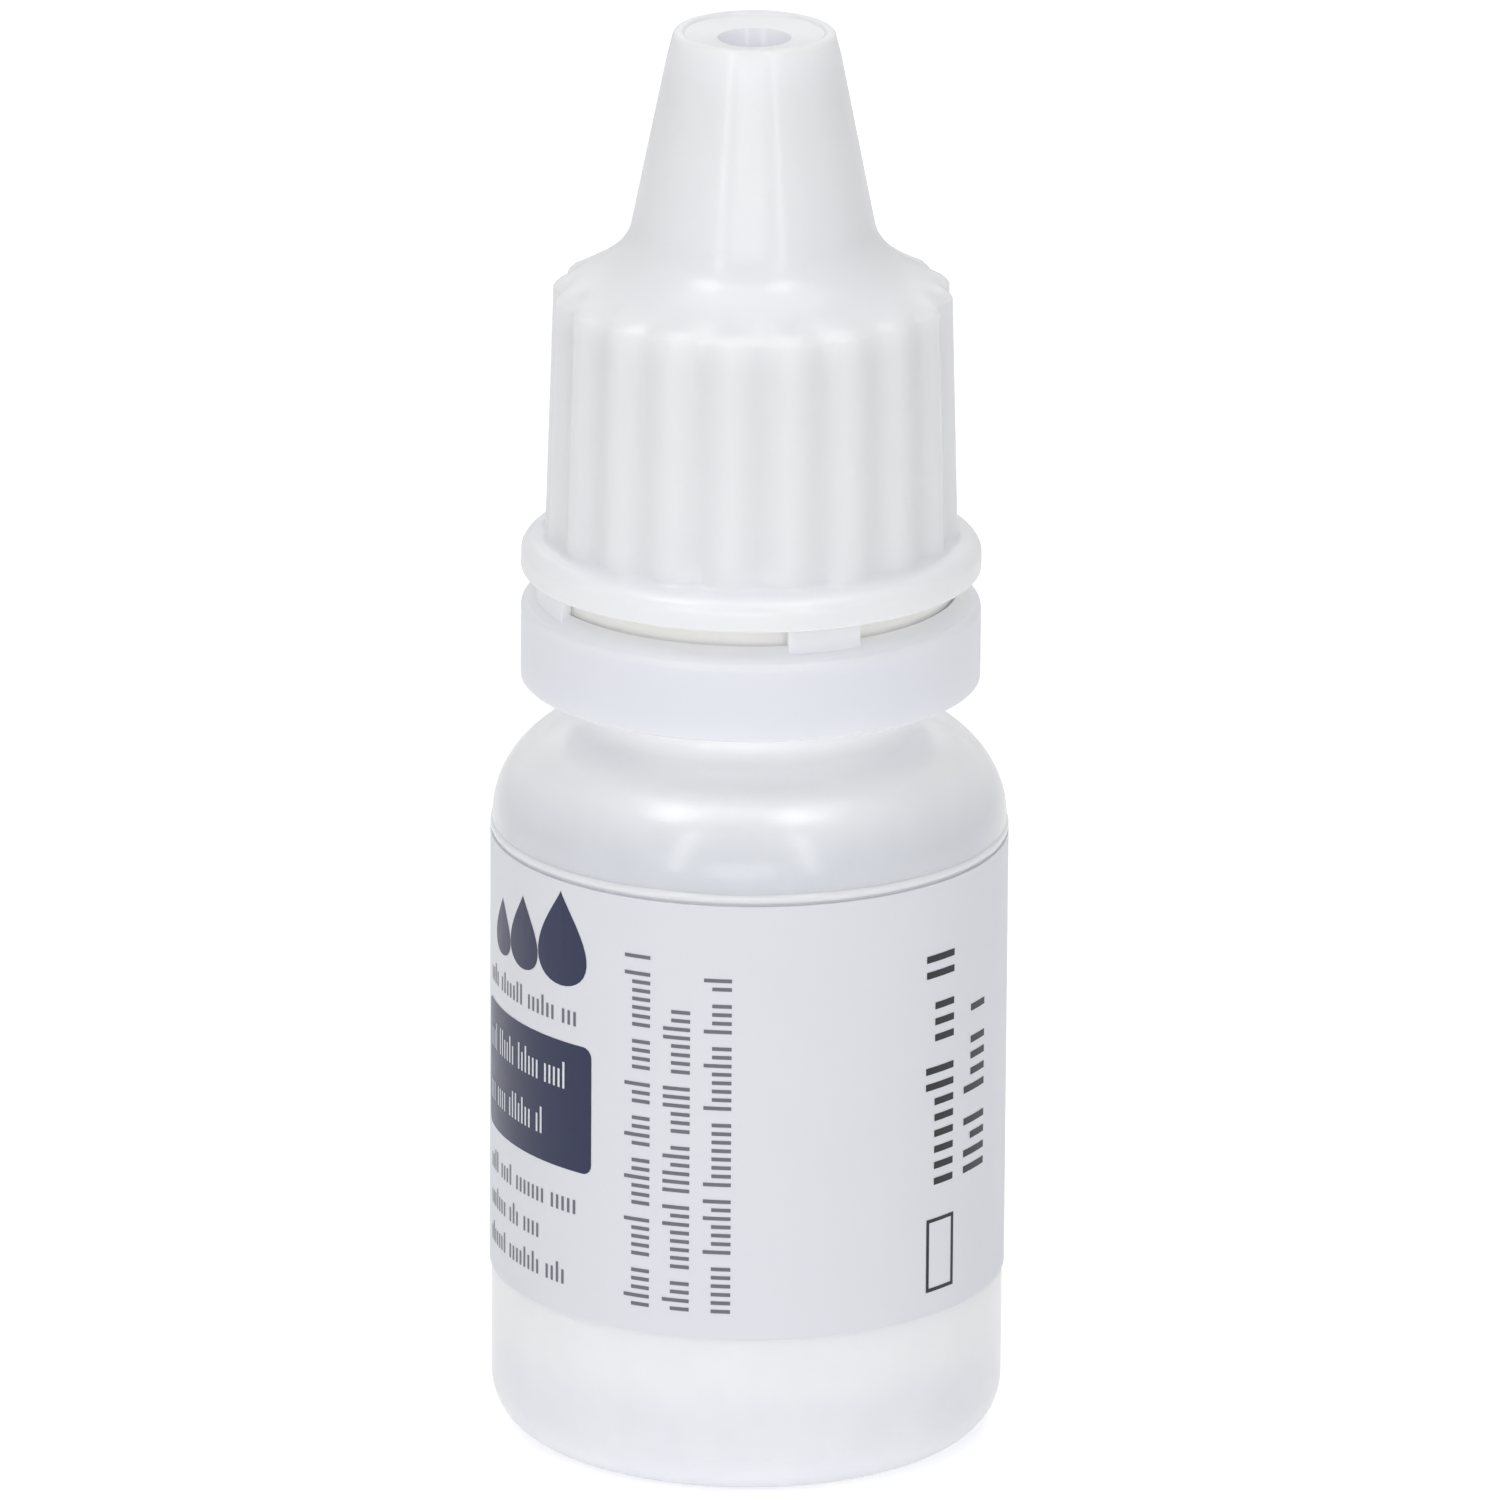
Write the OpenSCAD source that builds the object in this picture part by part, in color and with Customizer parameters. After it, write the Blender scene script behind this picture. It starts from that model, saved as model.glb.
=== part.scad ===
// Eye drop bottle: a squeeze bottle with a press-in dropper, a ribbed screw cap,
// a tamper ring held under a bead on the neck, a wrap-round label and the drops inside.
// Millimetres. The bottle stands on z = 0 on the z axis, and -y is the front.

/* [Bottle] */
// Outside diameter of the body
body_d = 24; // [22.5:0.25:32]
// Wall thickness of the body and shoulder
body_wall = 0.8; // [0.6:0.05:1]
// Thickness of the base
base_t = 0.9; // [0.6:0.05:1.4]
// Height of the straight part of the body
barrel_h = 29.9; // [26:0.5:45]
// Radius of the rounded corner at the base
base_corner_r = 2.4; // [1.4:0.1:3]
// Height that the middle of the base is pushed up
push_up = 0.8; // [0.4:0.1:1.5]
// Width of the ring that the bottle stands on
foot_w = 1.6; // [1:0.1:2.4]
// Rise of the rounded shoulder
shoulder_rise = 5.05; // [4:0.1:7]
// How far the shoulder's curve would run on inside the neck
shoulder_tuck = 1.7; // [1.2:0.1:2.5]

/* [Neck] */
// Outside diameter of the neck, at the root of its thread
neck_d = 14.8; // [14:0.1:15.4]
// Wall thickness of the neck
neck_wall = 0.8; // [0.7:0.05:1]
// Height of the neck, from the shoulder to the rim
neck_h = 18.1; // [17.6:0.1:18.6]
// Radius of the hollow between shoulder and neck
neck_fillet_r = 1.2; // [0.6:0.1:1.4]
// How far the bead that holds the tamper ring stands out from the neck
bead_out = 1.5; // [1.2:0.05:1.7]
// Height of that bead
bead_h = 1.4; // [1:0.05:1.6]

/* [Thread] */
// Rise of the thread in one turn
thread_pitch = 3; // [2.8:0.1:3.4]
// Turns of thread on the neck and in the cap
thread_turns = 1.5; // [1:0.25:1.5]
// Depth of the thread
thread_depth = 0.7; // [0.5:0.05:0.8]
// Width of a thread ridge at its foot
thread_foot_w = 1.2; // [1:0.05:1.25]
// Width of a thread ridge at its top
thread_top_w = 0.55; // [0.4:0.05:0.8]
// Space between a ridge's top and the wall facing it
thread_gap = 0.15; // [0.12:0.01:0.25]
// Distance from the neck's rim down to the end of its thread
thread_below_rim = 3.2; // [2.8:0.1:3.6]

/* [Dropper] */
// Thickness of the dropper's flange on the neck's rim
seat_t = 1.2; // [0.9:0.1:1.4]
// Diameter of the nozzle at its foot
nozzle_d = 8; // [7:0.1:8.4]
// Diameter of the nozzle at its tip
nozzle_tip_d = 3.8; // [3.4:0.1:4]
// Height of the nozzle above its flange
nozzle_h = 10; // [9:0.1:10.3]
// Diameter of the drop channel
channel_d = 2; // [1.6:0.1:2.2]
// Diameter of the hole that meters the drops
orifice_d = 0.5; // [0.3:0.05:0.8]
// Length of the hole that meters the drops
orifice_l = 1; // [0.6:0.1:1.5]
// Length of the plug inside the neck
plug_l = 5.2; // [4:0.1:7]
// Wall thickness of the plug
plug_wall = 0.9; // [0.7:0.05:1.2]
// Space between the plug and the neck, apart from its sealing beads
plug_gap = 0.2; // [0.1:0.02:0.3]
// How far the sealing beads press into the neck
plug_press = 0.05; // [0.02:0.01:0.08]

/* [Cap] */
// Outside diameter of the ribbed skirt at its foot
skirt_d = 19.24; // [18.8:0.02:20]
// How much narrower the skirt is at its top
skirt_taper = 0.68; // [0.3:0.02:0.8]
// Height of the ribbed skirt above the flange
skirt_h = 11.83; // [11.6:0.01:12.2]
// Outside diameter of the flange under the skirt
flange_d = 21.4; // [20.8:0.1:22]
// Height of the flange
flange_h = 1.6; // [1.4:0.05:2]
// Radius of the flange's lower corner
flange_corner_r = 0.15; // [0.1:0.05:0.3]
// Height of the flange's straight side above that corner
flange_side_h = 0.6; // [0.3:0.05:0.8]
// Height of the thin collar that goes on below the flange, inside the tabs
collar_h = 1.1; // [0.6:0.05:1.2]
// Space between that collar and the tabs
collar_gap = 0.1; // [0.1:0.05:0.5]
// Diameter of the cone at its foot
cone_d = 11.24; // [11:0.02:12]
// Diameter of the cone at its tip
cone_tip_d = 7.56; // [7.2:0.02:8]
// Height of the cone
cone_h = 9.17; // [9:0.01:10]
// Height of the hollow curve between shoulder and cone
flare_h = 3.15; // [2.8:0.05:3.4]
// How sharply that curve draws in from the shoulder
flare_power = 2.2; // [1.8:0.1:2.6]
// Radius of the rounded edge at the tip
tip_edge_r = 0.3; // [0.2:0.05:0.4]
// Depth of the shallow dish in the tip
dish_depth = 0.35; // [0.2:0.05:0.5]
// Diameter of the blind recess in the dish
recess_d = 3.4; // [2.6:0.1:3.8]
// Depth of that recess below the dish
recess_depth = 0.9; // [0.6:0.1:1]
// Wall between the recess and the hollow of the cone
tip_wall = 0.9; // [0.8:0.1:1]
// Wall thickness of the cone
cone_wall = 1; // [0.8:0.05:1.1]
// Number of ribs round the skirt
rib_count = 20; // [16:1:24]
// Depth of the flutes between the ribs
rib_depth = 0.3; // [0.2:0.02:0.36]
// Radius of the flutes
flute_r = 1.8; // [1.4:0.1:2.4]
// Space between the sealing pin and the drop channel
pin_gap = 0.05; // [0.03:0.01:0.08]
// How far the sealing pin reaches into the drop channel
pin_reach = 1.2; // [0.6:0.1:1.6]

/* [Tamper ring] */
// Outside diameter of the tamper ring
ring_d = 21.4; // [21:0.1:22]
// Height of the tamper ring
ring_h = 4.35; // [3.9:0.05:4.4]
// Wall thickness of the tamper ring
ring_wall = 1.1; // [0.9:0.05:1.2]
// Height of the ring's foot above the crown of the shoulder
ring_lift = 1.67; // [1.4:0.01:2.2]
// Height of the lip that catches under the neck's bead
lip_h = 1.2; // [0.9:0.05:1.3]
// How far the lip reaches under the bead
lip_reach = 0.5; // [0.35:0.05:0.7]
// Play between the lip and the bead
lip_play = 0.25; // [0.15:0.05:0.4]
// How much lower the ring's top is at its outer edge than at its inner one
ring_slope = 0.55; // [0.2:0.05:0.6]
// Radius of the ring's upper outer corner
ring_corner_r = 0.45; // [0.2:0.05:0.5]
// Height of the slot between the ring and the cap
slot_h = 0.93; // [0.8:0.01:1.2]
// Number of tabs that joined the ring to the cap
tab_count = 4; // [3:1:6]
// Angle that each tab spans
tab_angle = 20; // [8:1:30]
// Radial thickness of a tab
tab_t = 0.5; // [0.4:0.05:0.6]
// Space that the break left above each tab
tab_gap = 0.1; // [0.05:0.05:0.3]

/* [Label] */
// Height of the label's lower edge above the base
label_z = 8.05; // [4:0.05:8.5]
// Height of the label
label_h = 21.1; // [14:0.1:21.3]
// Thickness of the label
label_t = 0.1; // [0.06:0.02:0.2]
// Angle left bare at the back, between the label's ends
label_open_angle = 20; // [6:2:60]

/* [Drops] */
// Depth of the drops above the inside of the base: 25.8 is 10 ml
fill_h = 25.8; // [10:0.1:27]

/* [Hidden] */
$fn = 96;
arc_steps = 16;
match_rounds = 8;
thread_steps = 36;
thread_ramp = 0.12;
thread_bury = 0.2;
lead_in = 0.3;
edge_cut = 0.1;
tip_round = 150;
corner_round = 70;
overcut = 1;

// The directions of one rib and of one tab
rib_turn = -96;
tab_turn = -70;

// Radii
body_r = body_d / 2;
inside_r = body_r - body_wall;
neck_r = neck_d / 2;
bore_r = neck_r - neck_wall;
bead_r = neck_r + bead_out;
foot_out_r = body_r - base_corner_r;
foot_in_r = foot_out_r - foot_w;
inner_corner_r = base_corner_r - body_wall;
thread_top_r = neck_r + thread_depth;
skirt_bore_r = thread_top_r + thread_gap;
cap_thread_r = neck_r + thread_gap;
skirt_foot_r = skirt_d / 2;
skirt_top_r = skirt_foot_r - skirt_taper / 2;
taper_angle = atan((skirt_foot_r - skirt_top_r) / skirt_h);
flange_r = flange_d / 2;
cone_r = cone_d / 2;
cone_tip_r = cone_tip_d / 2;
channel_r = channel_d / 2;
pin_r = channel_r - pin_gap;
ring_r = ring_d / 2;
ring_bore_r = ring_r - ring_wall;
collar_r = ring_bore_r - collar_gap;
lip_r = bead_r - lip_reach;

// Shoulder: a quarter of an ellipse, which runs into the neck's fillet where their slopes match
shoulder_run = body_r - neck_r + shoulder_tuck;
fillet_start_r = matched_r(neck_r + neck_fillet_r, match_rounds);
shoulder_end = shoulder_angle(fillet_start_r);
shoulder_top_z = barrel_h + shoulder_rise * sin(shoulder_end);
shoulder_slope = slope_at(fillet_start_r);
fillet_z = shoulder_top_z + neck_fillet_r * cos(shoulder_slope);

// Heights, from the base up
crown_z = barrel_h + shoulder_rise;
rim_z = crown_z + neck_h;
ring_z = crown_z + ring_lift;
bead_z = ring_z + lip_h + lip_play;
ring_top_z = ring_z + ring_h;
cap_z = ring_top_z + slot_h;
collar_z = cap_z - collar_h;
skirt_z = cap_z + flange_h;
seat_z = rim_z + seat_t;
nozzle_top_z = seat_z + nozzle_h;
edge_z = skirt_z + skirt_h;
cone_z = edge_z + flare_h;
tip_z = cone_z + cone_h;
hollow_top_z = tip_z - dish_depth - recess_depth - tip_wall;
thread_rise = thread_pitch * thread_turns;
neck_thread_z = rim_z - thread_below_rim - thread_foot_w / 2 - thread_rise;
cap_thread_z = neck_thread_z - thread_pitch / 2;

fill_z = base_t + fill_h;

// How far along its ellipse the shoulder has come at a radius, and its slope there
function shoulder_angle(r) = acos(1 - (body_r - r) / shoulder_run);
function slope_at(r) = atan(shoulder_rise / shoulder_run / tan(shoulder_angle(r)));

// Radius at which the shoulder's slope is that of the neck's fillet, closer with each round
function matched_r(r, rounds) = rounds < 1 ? r
    : matched_r(neck_r + neck_fillet_r * (1 - sin(slope_at(r))), rounds - 1);

// Points along an arc about [r, z], from one angle to another
function arc(r, z, radius, from, to, steps = arc_steps) =
    [for (i = [0:steps]) let (a = from + (to - from) * i / steps)
        [r + radius * cos(a), z + radius * sin(a)]];

// Points along the shoulder, set in from its outside by a wall
function shoulder(inset, from, to) =
    [for (i = [0:arc_steps * 2]) let (
        a = from + (to - from) * i / (arc_steps * 2),
        slope = [cos(a) / shoulder_run, sin(a) / shoulder_rise],
        inward = slope * inset / norm(slope))
        [body_r - shoulder_run * (1 - cos(a)) - inward[0],
         barrel_h + shoulder_rise * sin(a) - inward[1]]];

// Points along the pushed-up middle of the base, raised by a height
function base_curve(raise, from_r, to_r) =
    [for (i = [0:arc_steps]) let (r = from_r + (to_r - from_r) * i / arc_steps)
        [r, raise + push_up * (1 - pow(r / foot_in_r, 2))]];

// The inside of the bottle, from the middle of its base up to the shoulder
function bottle_inside() = concat(
    base_curve(base_t, 0, foot_in_r),
    arc(inside_r - inner_corner_r, base_t + inner_corner_r, inner_corner_r, -90, 0),
    shoulder(body_wall, 0, shoulder_end));

// A ridge that winds round the z axis, from the wall at root_r to its top at top_r
module thread_ridge(root_r, top_r, z) {
    steps = ceil(thread_steps * thread_turns);
    out = sign(top_r - root_r);
    foot_r = root_r - out * thread_bury;
    sides = [for (i = [0:steps]) let (
        t = i / steps,
        grown = min(1, t / thread_ramp, (1 - t) / thread_ramp),
        r = root_r + (top_r - root_r) * grown,
        a = 360 * thread_turns * t,
        h = z + thread_rise * t,
        w = out * thread_foot_w / 2,
        v = out * thread_top_w / 2)
        each [for (p = [[foot_r, -w], [r, -v], [r, v], [foot_r, w]])
            [p[0] * cos(a), p[0] * sin(a), h + p[1]]]];
    walls = [for (i = [0:steps - 1], k = [0:3]) let (
        a = 4 * i + k,
        b = 4 * i + (k + 1) % 4)
        each [[a, b, b + 4], [a, b + 4, a + 4]]];
    last = 4 * steps;
    ends = [[3, 2, 1, 0], [last, last + 1, last + 2, last + 3]];
    polyhedron(sides, concat(walls, ends));
}

// Bottle: one blown piece with a pushed-up base, a round shoulder and a threaded neck
module bottle() {
    color([0.93, 0.94, 0.95]) {
        difference() {
            rotate_extrude() polygon(concat(
                base_curve(0, 0, foot_in_r),
                arc(foot_out_r, base_corner_r, base_corner_r, -90, 0),
                shoulder(0, 0, shoulder_end),
                arc(neck_r + neck_fillet_r, fillet_z, neck_fillet_r, 270 - shoulder_slope, 180),
                [[neck_r, bead_z],
                 [bead_r, bead_z],
                 [bead_r, bead_z + bead_h / 2],
                 [neck_r, bead_z + bead_h],
                 [neck_r, rim_z - lead_in],
                 [neck_r - lead_in, rim_z],
                 [0, rim_z]]));
            bottle_hollow();
        }
        thread_ridge(neck_r, thread_top_r, neck_thread_z);
    }
}

module bottle_hollow() {
    rotate_extrude() polygon(concat(
        bottle_inside(),
        [[bore_r, fillet_z],
         [bore_r, rim_z + overcut],
         [0, rim_z + overcut]]));
}

// Dropper insert: a plug in the neck, a flange on its rim and the nozzle above
module dropper_insert() {
    plug_r = bore_r - plug_gap;
    plug_bore_r = plug_r - plug_wall;
    plug_z = rim_z - plug_l;
    web_z = rim_z - plug_wall;
    seal_out = bore_r + plug_press - plug_r;
    drill_h = nozzle_top_z - web_z + overcut;
    color([0.95, 0.96, 0.97]) difference() {
        rotate_extrude() polygon(concat(
            [[plug_bore_r, plug_z],
             [plug_r - lead_in, plug_z]],
            seal_bead(plug_r, plug_z + plug_l / 3, seal_out),
            seal_bead(plug_r, plug_z + plug_l * 2 / 3, seal_out),
            [[plug_r, rim_z],
             [neck_r - lead_in, rim_z],
             [neck_r, rim_z + lead_in],
             [neck_r, seat_z],
             [nozzle_d / 2, seat_z]],
            arc(nozzle_tip_d / 2 - lead_in, nozzle_top_z - lead_in, lead_in, 0, 90),
            [[0, nozzle_top_z],
             [0, web_z],
             [plug_bore_r, web_z]]));
        translate([0, 0, web_z - overcut]) cylinder(h = drill_h, r = orifice_d / 2);
        translate([0, 0, web_z + orifice_l]) cylinder(h = drill_h, r = channel_r);
    }
}

// Points of one rounded bead that stands out from the plug
function seal_bead(r, z, out) =
    [[r, z - out * 2], [r + out, z - out / 2], [r + out, z + out / 2], [r, z + out * 2]];

// Screw cap: a ribbed skirt, a round flange with a collar below, a hollow cone and a sealing pin
module screw_cap() {
    color([0.97, 0.97, 0.98]) difference() {
        union() {
            difference() {
                rotate_extrude() polygon(cap_outline());
                rotate_extrude() polygon(cap_hollow());
            }
            thread_ridge(skirt_bore_r, cap_thread_r, cap_thread_z);
            translate([0, 0, nozzle_top_z - pin_reach])
                cylinder(h = hollow_top_z - nozzle_top_z + pin_reach, r = pin_r);
        }
        for (i = [0:rib_count - 1]) rotate(rib_turn + (i + 0.5) * 360 / rib_count) flute();
    }
}

function cap_outline() = concat(
    [[0, collar_z],
     [collar_r - edge_cut, collar_z],
     [collar_r, collar_z + edge_cut],
     [collar_r, cap_z],
     [flange_r - flange_corner_r, cap_z]],
    arc(flange_r - flange_corner_r, cap_z + flange_corner_r, flange_corner_r, -90, 0),
    flange_dome(),
    [[skirt_top_r, edge_z - edge_cut]],
    cap_flare(),
    arc(cone_tip_r - tip_edge_r, tip_z - tip_edge_r, tip_edge_r, 0, tip_round),
    [[recess_d / 2, tip_z - dish_depth],
     [recess_d / 2 - lead_in, tip_z - dish_depth - recess_depth],
     [0, tip_z - dish_depth - recess_depth]]);

// The flange's rounded top, from its straight side up to the foot of the skirt
function flange_dome() = [for (i = [0:arc_steps]) let (
    a = 90 * i / arc_steps,
    side_z = cap_z + flange_corner_r + flange_side_h)
    [skirt_foot_r + (flange_r - skirt_foot_r) * cos(a), side_z + (skirt_z - side_z) * sin(a)]];

// Radius of the cone at a height, also where the cone's line runs on below its foot
function cone_r_at(z) = cone_r + (cone_tip_r - cone_r) * (z - cone_z) / cone_h;

// The hollow curve from the shoulder's edge in to the foot of the cone
function cap_flare() = [for (i = [0:arc_steps]) let (
    t = i / arc_steps,
    z = edge_z + flare_h * t,
    spread = skirt_top_r - edge_cut - cone_r_at(edge_z))
    [cone_r_at(z) + spread * pow(1 - t, flare_power), z]];

// The space inside the cap: the skirt's bore and the hollow of the cone above it
function cap_hollow() = [
    [0, collar_z - overcut],
    [skirt_bore_r + lead_in, collar_z - overcut],
    [skirt_bore_r + lead_in, collar_z],
    [skirt_bore_r, collar_z + lead_in * 2],
    [skirt_bore_r, seat_z],
    [cone_r - cone_wall, seat_z],
    [cone_r - cone_wall - lead_in, cone_z],
    [cone_r_at(hollow_top_z) - cone_wall, hollow_top_z],
    [0, hollow_top_z]];

// One flute, which follows the taper of the skirt
module flute() {
    translate([skirt_foot_r - rib_depth + flute_r, 0, skirt_z])
        rotate([0, -taper_angle, 0])
            cylinder(h = skirt_h + flare_h, r = flute_r);
}

// Tamper ring: a loose band with a lip under the neck's bead and the tabs that broke
module tamper_ring() {
    corner_z = ring_top_z - ring_slope - ring_corner_r;
    color([0.93, 0.95, 0.98]) {
        rotate_extrude() polygon(concat(
            [[lip_r + lead_in, ring_z],
             [ring_r - edge_cut, ring_z],
             [ring_r, ring_z + edge_cut]],
            arc(ring_r - ring_corner_r, corner_z, ring_corner_r, 0, corner_round),
            [[ring_bore_r + edge_cut, ring_top_z],
             [ring_bore_r, ring_top_z - edge_cut],
             [ring_bore_r, ring_z + lip_h + lead_in],
             [lip_r, ring_z + lip_h]]));
        for (i = [0:tab_count - 1])
            rotate(tab_turn + i * 360 / tab_count - tab_angle / 2)
                rotate_extrude(angle = tab_angle) translate([ring_bore_r, ring_top_z - lead_in])
                    square([tab_t, lead_in + slot_h - tab_gap]);
    }
}

// Label: a thin film wrapped round the body, open at the back
module label() {
    color([0.9, 0.91, 0.93])
        rotate([0, 0, 90 + label_open_angle / 2])
            rotate_extrude(angle = 360 - label_open_angle) translate([body_r, label_z])
                square([label_t, label_h]);
}

// The drops: the liquid that fills the bottle up to its level
module eye_drops() {
    color([0.8, 0.9, 0.95]) intersection() {
        rotate_extrude() polygon(concat(bottle_inside(), [[0, shoulder_top_z]]));
        cylinder(h = fill_z, r = body_r);
    }
}

bottle();
dropper_insert();
screw_cap();
tamper_ring();
label();
eye_drops();
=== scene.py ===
import math
import random

import bmesh
import bpy
from mathutils import Matrix, Vector


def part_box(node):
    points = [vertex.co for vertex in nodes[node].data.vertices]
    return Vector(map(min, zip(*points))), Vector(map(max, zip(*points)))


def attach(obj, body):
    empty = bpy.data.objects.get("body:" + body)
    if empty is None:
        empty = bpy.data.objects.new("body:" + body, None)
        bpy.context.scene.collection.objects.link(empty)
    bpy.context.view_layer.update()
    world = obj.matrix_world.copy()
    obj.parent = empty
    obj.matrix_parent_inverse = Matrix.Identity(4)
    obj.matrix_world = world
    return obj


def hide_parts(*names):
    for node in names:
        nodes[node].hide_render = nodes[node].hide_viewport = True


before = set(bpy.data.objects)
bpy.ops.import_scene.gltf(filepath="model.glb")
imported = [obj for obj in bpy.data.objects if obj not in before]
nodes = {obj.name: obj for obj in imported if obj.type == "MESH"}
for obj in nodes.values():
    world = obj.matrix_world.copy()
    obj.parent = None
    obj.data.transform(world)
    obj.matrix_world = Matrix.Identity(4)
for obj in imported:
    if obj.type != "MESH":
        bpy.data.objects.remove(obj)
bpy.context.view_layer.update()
mm = 0.001

# Bottle
# The bottle is blown in one piece from milky low-density polyethylene, with a satin skin that waves a little. Its
# colour by height is partly the wall's own look and partly painted light: lighter where the drops back it, with
# painted shade at the empty shoulder, darker towards the foot, and lightest at the neck's thick foot and the crown,
# painted there to fill the shade under the ring, where a faint painted glow lies too. Two mould halves leave a faint
# line down each side.
label_low, label_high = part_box("label")
drops_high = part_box("eye_drops")[1]
# Painted light and shade by height: the filled wall is painted lighter, the empty shoulder darker, and the neck and
# crown lightest to fill the shade under the ring. The foot is darker.
foot_colour = (0.875, 0.884, 0.953, 1)
wet_and_painted_light_colour = (0.938, 0.946, 0.995, 1)
dry_and_painted_shade_colour = (0.715, 0.735, 0.785, 1)
crown_painted_light_colour = (0.97, 0.975, 0.985, 1)
neck_z = drops_high.z + 8 * mm
painted_light_by_height = (
    (3.8 * mm, foot_colour),
    (6.2 * mm, wet_and_painted_light_colour),
    (drops_high.z - 2 * mm, wet_and_painted_light_colour),
    (drops_high.z + 0.5 * mm, dry_and_painted_shade_colour),
    (drops_high.z + 4 * mm, dry_and_painted_shade_colour),
)
# A paler band over the ledge is a painted highlight, for the glint along its rounding.
ledge_painted_highlight_colour = (0.89, 0.905, 0.955, 1)
ledge_z = label_high.z + 0.33 * mm
painted_highlight_half_h = 0.4 * mm
crown_low_z = 33.2 * mm
crown_high_z = 37.6 * mm
crown_glow = 0.14
mould_line_w = 0.12 * mm
mould_line_depth = 0.02 * mm


def new_finish(name, refraction):
    """A new material with its node tree and its Principled shader."""
    finish = bpy.data.materials.new(name)
    finish.use_nodes = True
    shader = finish.node_tree.nodes["Principled BSDF"]
    shader.inputs["IOR"].default_value = refraction
    return finish, finish.node_tree, shader


def add_node(tree, kind, **values):
    """A new shader node, with the values of its inputs by their names, where a gap is written as an underscore."""
    made = tree.nodes.new("ShaderNode" + kind)
    for name, value in values.items():
        made.inputs[name.replace("_", " ")].default_value = value
    return made


def own_place(tree):
    """The place of each point on the piece itself, in metres."""
    return tree.nodes.new("ShaderNodeTexCoord").outputs["Object"]


def axis_place(tree, axis):
    """How far each point lies along one axis, in metres."""
    split = tree.nodes.new("ShaderNodeSeparateXYZ")
    tree.links.new(own_place(tree), split.inputs["Vector"])
    return split.outputs[axis]


def cloud(tree, size, detail=2):
    """A soft random pattern from 0 to 1, with patches of about this size in metres."""
    noise = add_node(tree, "TexNoise", Scale=1 / size, Detail=detail, Roughness=0.55)
    tree.links.new(own_place(tree), noise.inputs["Vector"])
    return noise.outputs["Factor" if "Factor" in noise.outputs else "Fac"]


def spread(tree, value, low, high):
    """A random pattern brought to the span from low to high."""
    scaled = add_node(tree, "MapRange", From_Min=0.25, From_Max=0.75, To_Min=low, To_Max=high)
    tree.links.new(value, scaled.inputs["Value"])
    return scaled.outputs["Result"]


def hump(tree, value, low, high):
    """A rounded rise to 1 between two values, and 0 outside them."""
    across = add_node(tree, "MapRange", From_Min=low, From_Max=high)
    tree.links.new(value, across.inputs["Value"])
    ramp = tree.nodes.new("ShaderNodeValToRGB")
    ramp.color_ramp.interpolation = "EASE"
    ramp.color_ramp.elements[0].color = (0, 0, 0, 1)
    ramp.color_ramp.elements[1].color = (0, 0, 0, 1)
    ramp.color_ramp.elements.new(0.5).color = (1, 1, 1, 1)
    tree.links.new(across.outputs["Result"], ramp.inputs["Fac"])
    return ramp.outputs["Color"]


def between(tree, value, first, second):
    """A colour between two, by a value from 0 to 1. The first can be the output of another node."""
    mixed = tree.nodes.new("ShaderNodeMix")
    mixed.data_type = "RGBA"
    low_end, high_end = [socket for socket in mixed.inputs if socket.type == "RGBA"]
    if isinstance(first, bpy.types.NodeSocket):
        tree.links.new(first, low_end)
    else:
        low_end.default_value = first
    high_end.default_value = second
    tree.links.new(value, mixed.inputs["Factor"])
    return [socket for socket in mixed.outputs if socket.type == "RGBA"][0]


def roughen(tree, shader, size, low, high):
    """Roughness between two values, in patches of about this size in metres."""
    tree.links.new(spread(tree, cloud(tree, size), low, high), shader.inputs["Roughness"])


def relief(tree, shader, height, depth, below=None):
    """Raises a pattern of heights from 0 to 1 by a depth in metres, on top of the relief below it."""
    bump = add_node(tree, "Bump", Distance=depth)
    tree.links.new(height, bump.inputs["Height"])
    if below:
        tree.links.new(below, bump.inputs["Normal"])
    tree.links.new(bump.outputs["Normal"], shader.inputs["Normal"])
    return bump.outputs["Normal"]


def scatter(shader, weight, reach):
    """Lets light into the plastic and out again within about this reach in metres."""
    shader.inputs["Subsurface Weight"].default_value = weight
    shader.inputs["Subsurface Radius"].default_value = (1, 1, 1)
    shader.inputs["Subsurface Scale"].default_value = reach


def gloss_over(shader, weight, roughness):
    """A thin coat that shines more than the plastic below it."""
    shader.inputs["Coat Weight"].default_value = weight
    shader.inputs["Coat Roughness"].default_value = roughness


def passed_light(tree, shader, share, strength):
    """A faint glow in narrow places, for the light that translucent walls pass on there."""
    glow = add_node(tree, "MapRange", To_Max=strength)
    tree.links.new(share, glow.inputs["Value"])
    tree.links.new(glow.outputs["Result"], shader.inputs["Emission Strength"])
    shader.inputs["Emission Color"].default_value = (1, 0.995, 1, 1)


def wear_finish(piece, finish):
    """Gives the whole piece one finish."""
    piece.data.materials.clear()
    piece.data.materials.append(finish)


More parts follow.
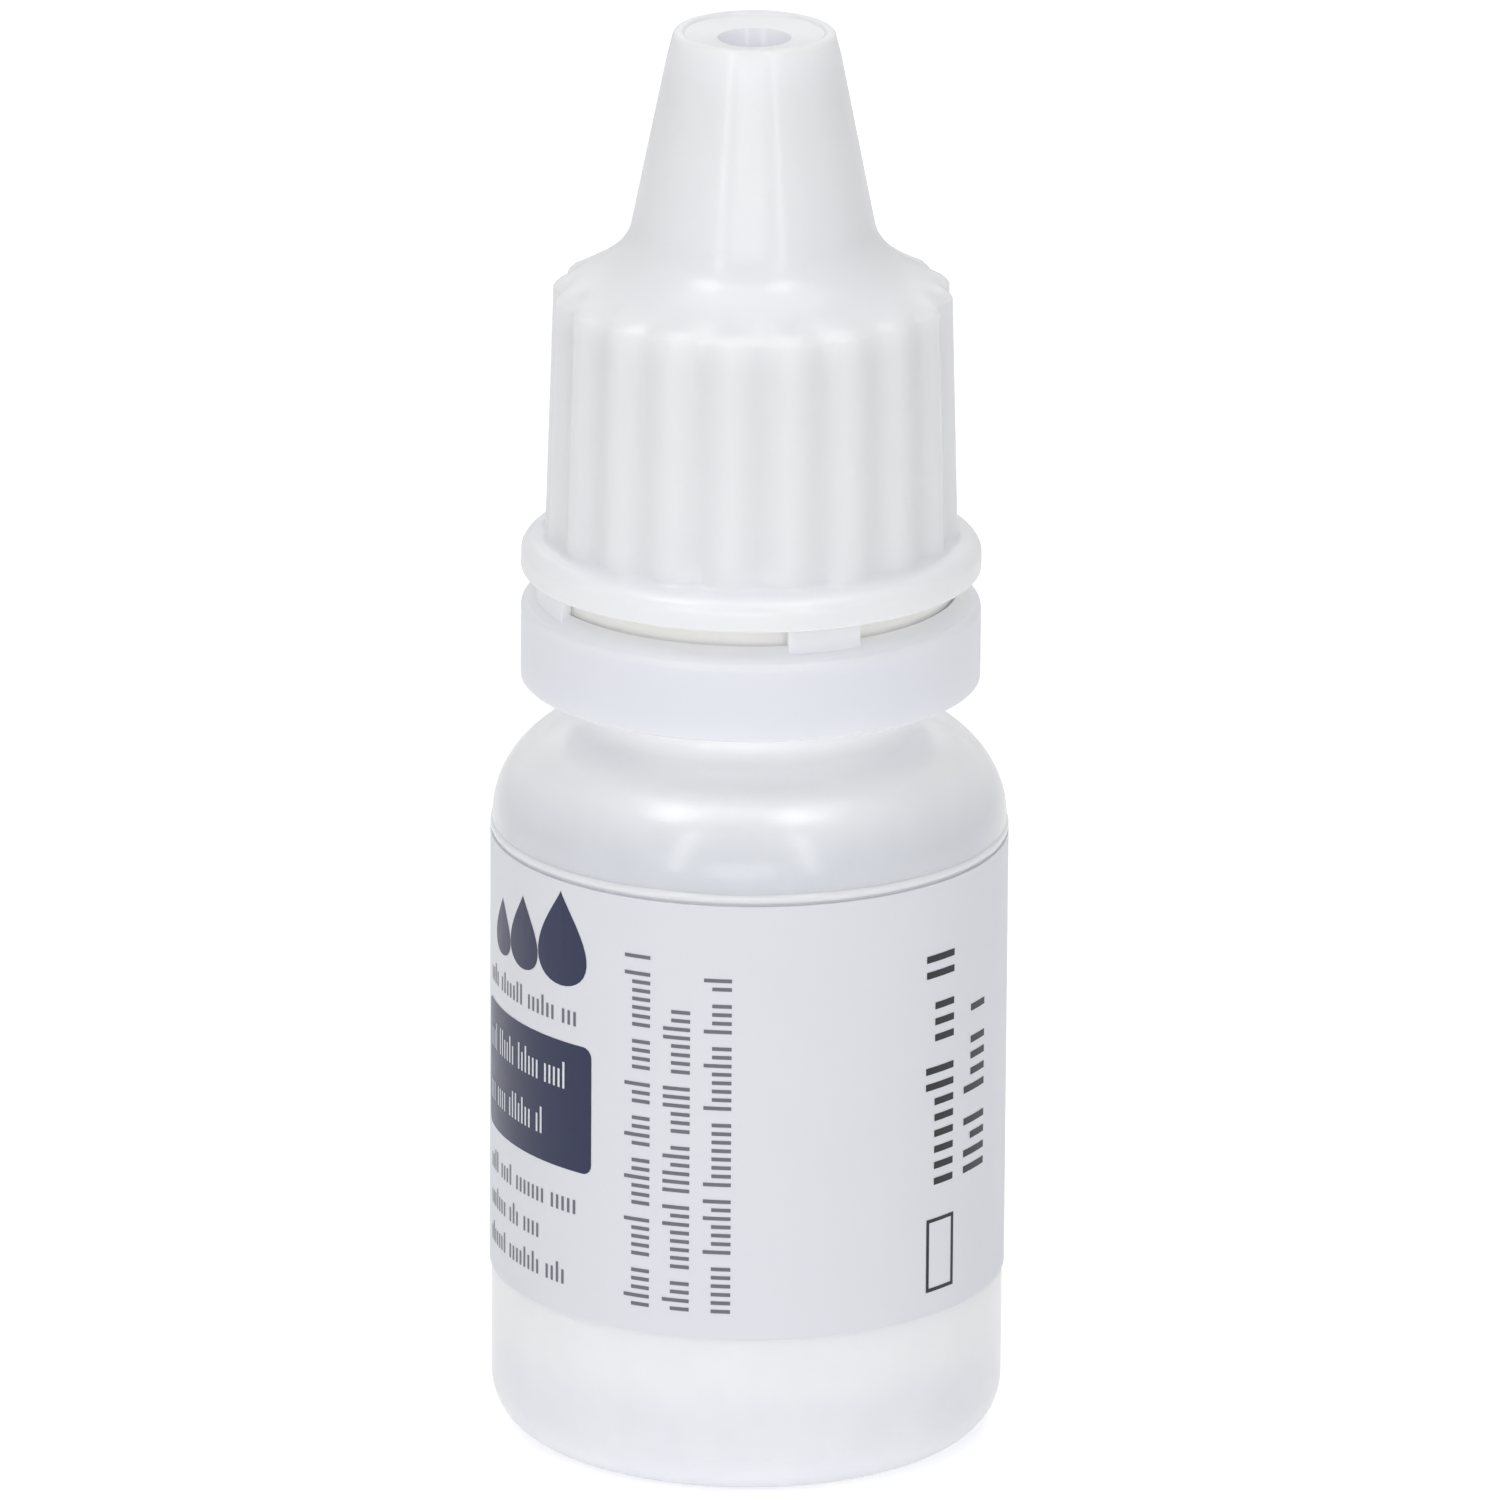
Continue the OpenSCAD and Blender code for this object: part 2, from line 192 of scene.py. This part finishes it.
def milky_polyethylene():
    finish, tree, shader = new_finish("milky_polyethylene", 1.51)
    # The tone by height paints light and shade into the wall's colour.
    level = add_node(tree, "MapRange", From_Max=neck_z)
    tree.links.new(axis_place(tree, "Z"), level.inputs["Value"])
    tone = tree.nodes.new("ShaderNodeValToRGB")
    tone.color_ramp.interpolation = "EASE"
    tone.color_ramp.elements[0].color = foot_colour
    tone.color_ramp.elements[1].color = crown_painted_light_colour
    for height, colour in painted_light_by_height:
        tone.color_ramp.elements.new(height / neck_z).color = colour
    tree.links.new(level.outputs["Result"], tone.inputs["Fac"])
    # A painted highlight: a paler band over the ledge.
    on_painted_highlight = hump(tree, axis_place(tree, "Z"), ledge_z - painted_highlight_half_h, ledge_z + painted_highlight_half_h)
    mottle = tree.nodes.new("ShaderNodeHueSaturation")
    tree.links.new(between(tree, on_painted_highlight, tone.outputs["Color"], ledge_painted_highlight_colour), mottle.inputs["Color"])
    tree.links.new(spread(tree, cloud(tree, 3 * mm), 0.975, 1.02), mottle.inputs["Value"])
    tree.links.new(mottle.outputs["Color"], shader.inputs["Base Color"])
    roughen(tree, shader, 1.2 * mm, 0.29, 0.38)
    scatter(shader, 0.5, 0.6 * mm)
    shader.inputs["Sheen Weight"].default_value = 1
    shader.inputs["Sheen Roughness"].default_value = 0.3
    gloss_over(shader, 0.8, 0.17)
    passed_light(tree, shader, hump(tree, axis_place(tree, "Z"), crown_low_z, crown_high_z), crown_glow)
    waves = relief(tree, shader, cloud(tree, 5 * mm, 1), 0.12 * mm)
    mould_line = hump(tree, axis_place(tree, "Y"), -mould_line_w, mould_line_w)
    lined = relief(tree, shader, mould_line, mould_line_depth, waves)
    relief(tree, shader, cloud(tree, 0.12 * mm), 0.004 * mm, lined)
    return finish


milky_finish = milky_polyethylene()
wear_finish(nodes["bottle"], milky_finish)

# Ledge
# A low, rounded step that the blow mould leaves in the bottle's wall, just over the label's upper edge. It goes all
# round and is of the bottle's own polyethylene; the paler band over it is a painted highlight, for the glint along
# its rounding.
label_t = 0.1 * mm
body_r = label_high.x - label_t
ledge_out = 0.1 * mm
ledge_half_w = 0.25 * mm
ledge_half_h = 0.28 * mm
ledge_steps = 32
round_steps = 360


def arc_points(centre_r, centre_z, reach_r, reach_z, start, end, steps):
    """Points along part of an ellipse in the (radius, height) plane, with its angles in degrees."""
    angles = [math.radians(start + (end - start) * i / steps) for i in range(steps + 1)]
    return [(centre_r + reach_r * math.cos(a), centre_z + reach_z * math.sin(a)) for a in angles]


def turned(profile):
    """A bmesh turned on the z axis from a profile of (radius, height) points."""
    form = bmesh.new()
    points = [form.verts.new((r, 0, z)) for r, z in profile]
    lines = [form.edges.new(pair) for pair in zip(points, points[1:])]
    circle = {"cent": (0, 0, 0), "axis": (0, 0, 1), "angle": math.tau, "steps": round_steps}
    bmesh.ops.spin(form, geom=points + lines, use_merge=True, **circle)
    bmesh.ops.remove_doubles(form, verts=form.verts, dist=1e-7)
    bmesh.ops.dissolve_degenerate(form, edges=form.edges, dist=1e-8)
    bmesh.ops.recalc_face_normals(form, faces=form.faces)
    return form


def finished_piece(name, form, finish):
    """A piece from a bmesh, smooth apart from its sharper edges."""
    sharp_turn = math.radians(35)
    for face in form.faces:
        face.smooth = True
    for edge in form.edges:
        edge.smooth = edge.calc_face_angle(0) < sharp_turn
    mesh = bpy.data.meshes.new(name)
    form.to_mesh(mesh)
    form.free()
    mesh.materials.append(finish)
    piece = bpy.data.objects.new(name, mesh)
    bpy.context.scene.collection.objects.link(piece)
    return piece


ledge_r = body_r + ledge_out - ledge_half_w
ledge_form = turned(arc_points(ledge_r, ledge_z, ledge_half_w, ledge_half_h, 0, 360, ledge_steps))
ledge = finished_piece("body_ledge", ledge_form, milky_finish)
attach(ledge, "bottle")

# Eye drops
# Ten millilitres of a clear, water-like liquid, which fills the bottle to a little below its shoulder. It is barely
# blue, and only dimly seen through the milky wall.
drops_colours = ((0.95, 0.98, 0.99, 1), (0.97, 0.99, 1, 1))


def clear_drops():
    finish, tree, shader = new_finish("clear_drops", 1.333)
    shader.inputs["Roughness"].default_value = 0.02
    shader.inputs["Transmission Weight"].default_value = 1
    tree.links.new(between(tree, cloud(tree, 4 * mm), *drops_colours), shader.inputs["Base Color"])
    return finish


wear_finish(nodes["eye_drops"], clear_drops())

# Dropper insert
# One moulding of clear-natural polyethylene, pressed into the neck. Its nozzle has a finer, glossier skin than the
# blown bottle, and the wall is thin enough to look watery.
dropper_colours = ((0.875, 0.885, 0.91, 1), (0.905, 0.912, 0.93, 1))


def natural_polyethylene():
    finish, tree, shader = new_finish("natural_polyethylene", 1.51)
    tree.links.new(between(tree, cloud(tree, 2 * mm), *dropper_colours), shader.inputs["Base Color"])
    roughen(tree, shader, 0.8 * mm, 0.28, 0.36)
    scatter(shader, 0.8, 1.5 * mm)
    relief(tree, shader, cloud(tree, 0.3 * mm), 0.004 * mm)
    return finish


wear_finish(nodes["dropper_insert"], natural_polyethylene())

# Tamper ring
# The ring is moulded with the cap and parts from it when the cap is first turned. It is left with four tabs, and its
# polyethylene looks bluer than the cap because the wall is thin.
ring_colours = ((0.835, 0.848, 0.92, 1), (0.855, 0.867, 0.935, 1))
glow_start_r = 10.7 * mm
glow_full_r = 9.9 * mm
ring_glow = 0.08


def axis_distance(tree):
    """How far each point lies from the bottle's axis, in metres."""
    level = tree.nodes.new("ShaderNodeVectorMath")
    level.operation = "MULTIPLY"
    level.inputs[1].default_value = (1, 1, 0)
    tree.links.new(own_place(tree), level.inputs[0])
    length = tree.nodes.new("ShaderNodeVectorMath")
    length.operation = "LENGTH"
    tree.links.new(level.outputs["Vector"], length.inputs[0])
    return length.outputs["Value"]


def moulded_skin(tree, shader, wave, wave_depth, grain, grain_depth):
    """Soft waves with a fine grain on top of them, each with its width and its depth in metres."""
    waves = relief(tree, shader, cloud(tree, wave, 1), wave_depth)
    relief(tree, shader, cloud(tree, grain), grain_depth, waves)


def thin_polyethylene():
    finish, tree, shader = new_finish("thin_polyethylene", 1.51)
    tree.links.new(between(tree, cloud(tree, 4 * mm), *ring_colours), shader.inputs["Base Color"])
    roughen(tree, shader, 1 * mm, 0.3, 0.38)
    scatter(shader, 0.8, 0.9 * mm)
    inner = add_node(tree, "MapRange", From_Min=glow_start_r, From_Max=glow_full_r)
    tree.links.new(axis_distance(tree), inner.inputs["Value"])
    passed_light(tree, shader, inner.outputs["Result"], ring_glow)
    moulded_skin(tree, shader, 4 * mm, 0.03 * mm, 0.2 * mm, 0.003 * mm)
    return finish


wear_finish(nodes["tamper_ring"], thin_polyethylene())

# Screw cap
# One opaque white moulding: a wide flange, a skirt with twenty rounded ribs, a hollow curve up to a long cone, and
# in its tip a dish round a blind recess. Inside are the skirt's bore with its thread, the hollow of the cone and the
# pin that seals the drop channel. A thin collar goes on down from the flange, inside the ring's tabs; its tan tint
# and faint glow are painted light, for the warm light that reaches it in the shaded slot.
cap_low, cap_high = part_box("screw_cap")
collar_h = 1.1 * mm
collar_r = 9.5 * mm
collar_chamfer = 0.1 * mm
flange_z = cap_low.z + collar_h
flange_r = cap_high.x
flange_side_z = flange_z + 0.75 * mm
flange_round = 0.15 * mm
skirt_z = flange_z + 1.6 * mm
skirt_foot_r = 9.62 * mm
skirt_top_r = 9.28 * mm
skirt_ring_parts = (0.1, 0.3, 0.5, 0.7, 0.85, 0.9)
edge_z = flange_z + 13.43 * mm
edge_round = 0.28 * mm
cone_z = edge_z + 3.15 * mm
cone_r = 5.62 * mm
cone_tip_r = 3.78 * mm
cone_ring_depths = (1.2, 3, 5, 7, 8.6)
flare_lift = 0.35
flare_power = 2.2
flare_steps = 20
tip_round = 0.3 * mm
dish_depth = 0.35 * mm
recess_r = 1.7 * mm
recess_depth = 0.9 * mm
cone_wall = 1 * mm
tip_wall = 0.9 * mm
pin_r = 0.95 * mm
pin_h = 2.45 * mm
skirt_bore_r = 8.25 * mm
skirt_bore_h = 12.35 * mm
thread_z = flange_z + 1.35 * mm
thread_pitch = 3 * mm
thread_turns = 1.5
thread_steps = 54
thread_top_r = 7.55 * mm
thread_foot_r = skirt_bore_r + 0.1 * mm
thread_foot_w = 1.2 * mm
thread_top_w = 0.55 * mm
thread_ramp = 0.12
chamfer = 0.3 * mm
rib_count = 20
rib_depth = 0.3 * mm
rib_fade = 1.3 * mm
rib_foot_fade = 0.7 * mm
rib_foot_share = 0.3
rib_margin_r = 0.1 * mm
rib_margin_z = 0.02 * mm
rib_turn = math.radians(-96)
foot_fillet = 0.35 * mm
hollow_top_z = cap_high.z - dish_depth - recess_depth - tip_wall
cap_colours = ((0.874, 0.881, 0.982, 1), (0.889, 0.895, 0.99, 1))
# The collar's tan tint is painted light, for the warm light in the shaded slot.
collar_painted_warm_light_colour = (0.93, 0.915, 0.87, 1)
collar_glow = 0.08


def cone_r_at(z):
    """Outside radius of the cone at a height."""
    return cone_r + (cone_tip_r - cone_r) * (z - cone_z) / (cap_high.z - cone_z)


def flare_points():
    """Points along the hollow curve from the skirt's edge in to the foot of the cone."""
    start_z = edge_z + edge_round * flare_lift
    start_r = skirt_top_r - edge_round
    spread_r = start_r - cone_r_at(start_z)
    parts = [i / flare_steps for i in range(flare_steps + 1)]
    heights = [start_z + (cone_z - start_z) * t for t in parts]
    return [(cone_r_at(z) + spread_r * (1 - t) ** flare_power, z) for t, z in zip(parts, heights)]


def cap_profile():
    """The cap's section, from the middle of its tip out, down and back up inside to the sealing pin."""
    dish_z = cap_high.z - dish_depth
    outside = [(0, dish_z - recess_depth), (recess_r - chamfer, dish_z - recess_depth), (recess_r, dish_z)]
    outside += arc_points(cone_tip_r - tip_round, cap_high.z - tip_round, tip_round, tip_round, 150, 10, 8)
    outside += [(cone_r_at(cap_high.z - t * mm), cap_high.z - t * mm) for t in cone_ring_depths]
    outside += flare_points()[::-1]
    outside += arc_points(skirt_top_r - edge_round, edge_z - edge_round, edge_round, edge_round, 65, 0, 5)
    for part in skirt_ring_parts:
        height = edge_z - edge_round - (edge_z - edge_round - skirt_z) * part
        outside.append((skirt_top_r + (skirt_foot_r - skirt_top_r) * part, height))
    outside += arc_points(skirt_foot_r + foot_fillet, skirt_z + foot_fillet, foot_fillet, foot_fillet, 180, 262, 6)
    flange_dome = (skirt_foot_r, flange_side_z, flange_r - skirt_foot_r, skirt_z - flange_side_z)
    outside += arc_points(*flange_dome, 68, 0, 9)
    outside += arc_points(flange_r - flange_round, flange_z + flange_round, flange_round, flange_round, 0, -90, 4)
    outside += [
        (collar_r, flange_z),
        (collar_r, cap_low.z + collar_chamfer),
        (collar_r - collar_chamfer, cap_low.z),
    ]
    inside = [
        (skirt_bore_r + chamfer, cap_low.z),
        (skirt_bore_r, cap_low.z + 2 * chamfer),
        (skirt_bore_r, flange_z + skirt_bore_h),
        (cone_r - cone_wall, flange_z + skirt_bore_h),
        (cone_r - cone_wall - chamfer, cone_z),
        (cone_r_at(hollow_top_z) - cone_wall, hollow_top_z),
        (pin_r, hollow_top_z),
        (pin_r, hollow_top_z - pin_h + chamfer),
        (pin_r - chamfer, hollow_top_z - pin_h),
        (0, hollow_top_z - pin_h),
    ]
    return outside + inside


def press_ribs(form):
    """Draws the skirt's wall in between its ribs, less and less over the shoulder above."""
    for point in form.verts:
        radius = math.hypot(point.co.x, point.co.y)
        on_wall = skirt_bore_r + rib_margin_r < radius < skirt_foot_r + foot_fillet
        if not (on_wall and point.co.z > skirt_z - rib_margin_z):
            continue
        inward = max(0, skirt_top_r - edge_round - radius)
        above_foot = min(1, (point.co.z - skirt_z) / rib_foot_fade + rib_foot_share)
        share = max(0, 1 - inward / rib_fade) ** 2 * above_foot
        angle = math.atan2(point.co.y, point.co.x) - rib_turn
        drawn = rib_depth * share * (1 - math.cos(rib_count * angle)) / 2
        point.co.xy *= (radius - drawn) / radius


def wind_thread(form):
    """Adds the ridge of the cap's thread to its bore, and lets both its ends run out."""
    section = [
        (thread_foot_r, -thread_foot_w / 2),
        (thread_top_r, -thread_top_w / 2),
        (thread_top_r, thread_top_w / 2),
        (thread_foot_r, thread_foot_w / 2),
    ]
    cap_points = set(form.verts)
    points = [form.verts.new((r, 0, thread_z + z)) for r, z in section]
    lines = [form.edges.new(pair) for pair in zip(points, points[1:] + points[:1])]
    form.faces.new(points)
    step = (0, 0, thread_pitch * thread_turns / thread_steps)
    winding = {"dvec": step, "steps": thread_steps, "angle": math.tau * thread_turns}
    wound = bmesh.ops.spin(form, geom=points + lines, cent=(0, 0, 0), axis=(0, 0, 1), **winding)
    form.faces.new([v for v in wound["geom_last"] if isinstance(v, bmesh.types.BMVert)])
    for point in set(form.verts) - cap_points:
        radius = math.hypot(point.co.x, point.co.y)
        turns = math.atan2(point.co.y, point.co.x) / math.tau
        turns += round((point.co.z - thread_z) / thread_pitch - turns)
        part = turns / thread_turns
        grown = max(0, min(1, part / thread_ramp, (1 - part) / thread_ramp))
        if radius < skirt_bore_r:
            point.co.xy *= (skirt_bore_r - (skirt_bore_r - thread_top_r) * grown) / radius
    bmesh.ops.recalc_face_normals(form, faces=form.faces)


def white_polypropylene():
    finish, tree, shader = new_finish("white_polypropylene", 1.49)
    white = between(tree, cloud(tree, 6 * mm), *cap_colours)
    # The collar's tan tint is painted light.
    on_collar = add_node(tree, "MapRange", From_Min=flange_z + 0.1 * mm, From_Max=flange_z)
    tree.links.new(axis_place(tree, "Z"), on_collar.inputs["Value"])
    tone = between(tree, on_collar.outputs["Result"], white, collar_painted_warm_light_colour)
    tree.links.new(tone, shader.inputs["Base Color"])
    roughen(tree, shader, 0.9 * mm, 0.29, 0.37)
    passed_light(tree, shader, hump(tree, axis_place(tree, "Z"), cap_low.z - 0.6 * mm, flange_z), collar_glow)
    gloss_over(shader, 0.35, 0.12)
    scatter(shader, 1, 1.2 * mm)
    moulded_skin(tree, shader, 3 * mm, 0.02 * mm, 0.15 * mm, 0.002 * mm)
    return finish


cap_form = turned(cap_profile())
press_ribs(cap_form)
wind_thread(cap_form)
cap = finished_piece("cap_moulding", cap_form, white_polypropylene())
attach(cap, "screw_cap")
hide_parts("screw_cap")

# Label
# A thin, pale grey plastic film with a soft gloss. It is glued round the body, and a bare strip is left at the back
# between its ends.
film_r = label_high.x
film_t = 0.09 * mm
film_z = (label_low.z + label_high.z) / 2
film_h = label_high.z - label_low.z
film_w = film_r * math.radians(340)
film_colours = ((0.79, 0.805, 0.86, 1), (0.81, 0.823, 0.875, 1))
strip_w = 0.6 * mm


def add_sheet(form, x, z, width, height):
    """Adds an upright flat sheet, with its middle at (x, z) on the face of the film."""
    place = Matrix.Translation((x, 0, z)) @ Matrix.Rotation(math.radians(90), 4, "X")
    place = place @ Matrix.Diagonal((width / 2, height / 2, 1, 1))
    return bmesh.ops.create_grid(form, x_segments=1, y_segments=1, size=1, matrix=place)["verts"]


def cut_in_strips(form):
    """Cuts a flat form upright into narrow strips, so that it can be rolled."""
    left = min(point.co.x for point in form.verts)
    right = max(point.co.x for point in form.verts)
    for i in range(math.ceil(left / strip_w), math.floor(right / strip_w) + 1):
        everything = form.verts[:] + form.edges[:] + form.faces[:]
        bmesh.ops.bisect_plane(form, geom=everything, dist=1e-8, plane_co=(i * strip_w, 0, 0), plane_no=(1, 0, 0))


def roll(form):
    """Wraps a flat form, drawn in the xz plane, round the bottle with its middle at the front."""
    for point in form.verts:
        turn = point.co.x / film_r
        radius = film_r - point.co.y
        point.co = Vector((radius * math.sin(turn), -radius * math.cos(turn), point.co.z))


def label_film():
    finish, tree, shader = new_finish("label_film", 1.5)
    tree.links.new(between(tree, cloud(tree, 5 * mm), *film_colours), shader.inputs["Base Color"])
    roughen(tree, shader, 1.5 * mm, 0.29, 0.37)
    moulded_skin(tree, shader, 7 * mm, 0.05 * mm, 0.1 * mm, 0.002 * mm)
    return finish


film_form = bmesh.new()
add_sheet(film_form, 0, film_z, film_w, film_h)
cut_in_strips(film_form)
bmesh.ops.solidify(film_form, geom=film_form.faces[:], thickness=film_t)
roll(film_form)
bmesh.ops.recalc_face_normals(film_form, faces=film_form.faces)
film = finished_piece("label_sheet", film_form, label_film())
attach(film, "bottle")
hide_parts("label")

# Print
# The label is printed in four inks before it is wrapped round the bottle. The print is plain: navy drops, a navy
# panel with light strokes, a navy bar at the back, and rows of grey and black strokes.
navy_ink = (0.009, 0.016, 0.068, 1)
grey_ink = (0.16, 0.165, 0.2, 1)
black_ink = (0.006, 0.006, 0.012, 1)
white_ink = (0.8, 0.82, 0.88, 1)
ink_lift = 0.012 * mm
ink_kept = 0.95
ink_paling = 0.006
drop_steps = 40
drop_taper = 1.4
corner_steps = 5
stroke_pitch = 2.3
stroke_heights = (0.7, 0.7, 0.7, 1)
fewest_strokes = 3
most_strokes = 8


def round_label(degrees):
    """How far a direction lies to the right of the front, along the flat film."""
    return film_r * math.radians(degrees)


def printed_ink(name, colour):
    """An ink with the fine mottle of print on film, a little glossier than the film."""
    finish, tree, shader = new_finish(name, 1.5)
    paler = tuple(ink_kept * value + ink_paling for value in colour[:3]) + (1,)
    tree.links.new(between(tree, cloud(tree, 0.12 * mm), colour, paler), shader.inputs["Base Color"])
    roughen(tree, shader, 0.9 * mm, 0.28, 0.34)
    relief(tree, shader, cloud(tree, 7 * mm, 1), 0.05 * mm)
    return finish


def add_drop(form, degrees, z, height):
    """Adds the outline of a drop, filled, with its point upward."""
    place = Matrix.Rotation(math.radians(90), 4, "X")
    outline = {"cap_ends": True, "radius": height / 2, "segments": drop_steps}
    for point in bmesh.ops.create_circle(form, matrix=place, **outline)["verts"]:
        from_tip = math.atan2(point.co.x, point.co.z)
        point.co.x *= abs(math.sin(from_tip / 2)) ** drop_taper
        point.co += Vector((round_label(degrees), 0, z))


def add_panel(form, degrees, z, width, height, corner):
    """Adds a filled panel with round corners."""
    corners = add_sheet(form, round_label(degrees), z, width, height)
    rounding = {"offset": corner, "segments": corner_steps, "profile": 0.5, "material": -1}
    bmesh.ops.bevel(form, geom=corners, affect="VERTICES", **rounding)


def add_strokes(form, seed, x, z, length, tall, thick, upright=False):
    """Adds a row of short strokes in groups. It runs to the right from (x, z), or upward if it is upright."""
    pick = random.Random(seed)
    along = 0
    left_in_group = pick.randint(fewest_strokes, most_strokes)
    while along < length:
        if left_in_group:
            rise = tall * pick.choice(stroke_heights)
            if upright:
                add_sheet(form, x - rise / 2, z + along, rise, thick)
            else:
                add_sheet(form, x + along, z + rise / 2, thick, rise)
            left_in_group -= 1
        else:
            left_in_group = pick.randint(fewest_strokes, most_strokes)
        along += thick * stroke_pitch


def printed(name, form, ink, layer=1):
    """A finished print from a flat form, wrapped round the label and just proud of the layer below it."""
    cut_in_strips(form)
    for point in form.verts:
        point.co.y = -ink_lift * layer
    roll(form)
    marks = finished_piece(name, form, printed_ink(name + "_ink", ink))
    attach(marks, "bottle")


navy_form = bmesh.new()
for degrees, z, height in ((-46, 26.4, 4.6), (-60, 25.9, 3.6), (-71, 25.5, 2.8)):
    add_drop(navy_form, degrees, z * mm, height * mm)
add_panel(navy_form, -60, 18.3 * mm, 9.8 * mm, 6.2 * mm, 0.5 * mm)
add_panel(navy_form, 131, 26.6 * mm, 13.5 * mm, 2 * mm, 0.3 * mm)
printed("navy_print", navy_form, navy_ink)

left_rows_x = round_label(-80)
light_form = bmesh.new()
for seed, (z, length) in enumerate(((19.1, 8), (16.5, 6)), 1):
    add_strokes(light_form, seed, left_rows_x, z * mm, length * mm, 1.3 * mm, 0.14 * mm)
printed("light_print", light_form, white_ink, 2)

row_pitch = 2.1
column_turn = 9.2
grey_form = bmesh.new()
for seed, (z, length) in enumerate(((22.3, 8.4), (13.1, 8.4), (11.3, 5.6), (9.5, 7.7)), 3):
    add_strokes(grey_form, seed, left_rows_x, z * mm, length * mm, 1 * mm, 0.16 * mm)
for i, length in enumerate((17.2, 14.6, 16.4)):
    column_x = round_label(column_turn * i - 22)
    add_strokes(grey_form, 7 + i, column_x, 9.4 * mm, length * mm, 1.3 * mm, 0.18 * mm, upright=True)
for i, length in enumerate((13, 12.4, 13.2, 11.8, 12.9, 8.3)):
    add_strokes(grey_form, 10 + i, round_label(100), (22.8 - row_pitch * i) * mm, length * mm, 1 * mm, 0.15 * mm)
for i, length in enumerate((9.5, 10.4, 9.9, 6.2)):
    add_strokes(grey_form, 16 + i, round_label(-150), (25.9 - row_pitch * i) * mm, length * mm, 1 * mm, 0.15 * mm)
printed("grey_print", grey_form, grey_ink)

box_x = round_label(48)
box_z = 11 * mm
box_w = 1.7 * mm
box_h = 3.4 * mm
box_line = 0.18 * mm
black_form = bmesh.new()
for seed, degrees, length in ((20, 52, 11), (21, 65, 8.6)):
    add_strokes(black_form, seed, round_label(degrees), 14.6 * mm, length * mm, 1.9 * mm, 0.34 * mm, upright=True)
for side in (-1, 1):
    add_sheet(black_form, box_x + side * box_w / 2, box_z, box_line, box_h)
    add_sheet(black_form, box_x, box_z + side * box_h / 2, box_w + box_line, box_line)
printed("black_print", black_form, black_ink)

# Floor, light and camera
# A plain white floor in a white room. Two tall soft boxes stand in front, three light the bottle from above and one
# from behind, and a low one fills in the front. A long lens looks 17.65 degrees down, as the photograph does.
view_distance = 0.8
view_down = math.radians(17.65)
view_roll = math.radians(0.36)
view_height = 32.9 * mm
view_end = 20
lens_mm = 412
sensor_mm = 36
box_distance = 0.9
floor_half = 3
floor_colour = (0.86, 0.86, 0.865, 1)
floor_glow = 0.25
floor_glow_seen = 0.45
room_light = 0.3
room_light_mirrored = 0.95


def white_floor():
    finish, tree, shader = new_finish("white_floor", 1.5)
    shader.inputs["Base Color"].default_value = floor_colour
    shader.inputs["Roughness"].default_value = 0.8
    rays = tree.nodes.new("ShaderNodeLightPath")
    glow = add_node(tree, "MapRange", To_Min=floor_glow, To_Max=floor_glow_seen)
    tree.links.new(rays.outputs["Is Camera Ray"], glow.inputs["Value"])
    shader.inputs["Emission Color"].default_value = (1, 1, 1, 1)
    tree.links.new(glow.outputs["Result"], shader.inputs["Emission Strength"])
    return finish


floor_form = bmesh.new()
bmesh.ops.create_grid(floor_form, x_segments=1, y_segments=1, size=floor_half)
floor = finished_piece("floor", floor_form, white_floor())

world = bpy.data.worlds.new("white_room")
world.use_nodes = True
bpy.context.scene.world = world
room = world.node_tree
room_air = room.nodes["Background"]
room_rays = room.nodes.new("ShaderNodeLightPath")
room_shine = add_node(room, "MapRange", To_Min=room_light, To_Max=room_light_mirrored)
room.links.new(room_rays.outputs["Is Glossy Ray"], room_shine.inputs["Value"])
room_level = add_node(room, "Math")
room_level.operation = "MAXIMUM"
room.links.new(room_rays.outputs["Is Camera Ray"], room_level.inputs[0])
room.links.new(room_shine.outputs["Result"], room_level.inputs[1])
room_air.inputs["Color"].default_value = (1, 1, 1, 1)
room.links.new(room_level.outputs["Value"], room_air.inputs["Strength"])


def soft_box(name, azimuth, elevation, wide, tall, power):
    """A soft box, turned to the bottle. Azimuth 0 is the camera's side and +90 the photograph's right."""
    turn = math.radians(azimuth)
    lift = math.radians(elevation)
    lamp = bpy.data.lights.new(name, "AREA")
    lamp.shape = "RECTANGLE"
    lamp.size = wide
    lamp.size_y = tall
    lamp.energy = power
    box = bpy.data.objects.new(name, lamp)
    away = Vector((math.sin(turn) * math.cos(lift), -math.cos(turn) * math.cos(lift), math.sin(lift)))
    box.location = away * box_distance + Vector((0, 0, view_height))
    box.rotation_euler = away.to_track_quat("Z", "Y").to_euler()
    bpy.context.scene.collection.objects.link(box)


soft_box("left_box", azimuth=-32, elevation=26, wide=0.1, tall=0.8, power=0.87)
soft_box("right_box", azimuth=27, elevation=26, wide=0.09, tall=0.8, power=0.78)
soft_box("top_box", azimuth=0, elevation=86, wide=1, tall=0.6, power=2.1)
soft_box("left_top_box", azimuth=-62, elevation=62, wide=0.25, tall=0.25, power=0.68)
soft_box("right_top_box", azimuth=40, elevation=66, wide=0.22, tall=0.22, power=0.52)
soft_box("front_box", azimuth=-4, elevation=8, wide=0.5, tall=0.3, power=0.8)
soft_box("back_box", azimuth=180, elevation=35, wide=0.8, tall=0.6, power=0.7)

camera_data = bpy.data.cameras.new("camera")
camera_data.lens = lens_mm
camera_data.sensor_width = sensor_mm
camera_data.clip_end = view_end
camera = bpy.data.objects.new("camera", camera_data)
bpy.context.scene.collection.objects.link(camera)
back = Vector((0, -math.cos(view_down), math.sin(view_down)))
camera.location = Vector((0, 0, view_height)) + back * view_distance
aim = back.to_track_quat("Z", "Y").to_matrix().to_4x4() @ Matrix.Rotation(view_roll, 4, "Z")
camera.rotation_euler = aim.to_euler()
bpy.context.scene.camera = camera

bpy.context.scene.view_settings.view_transform = "Standard"
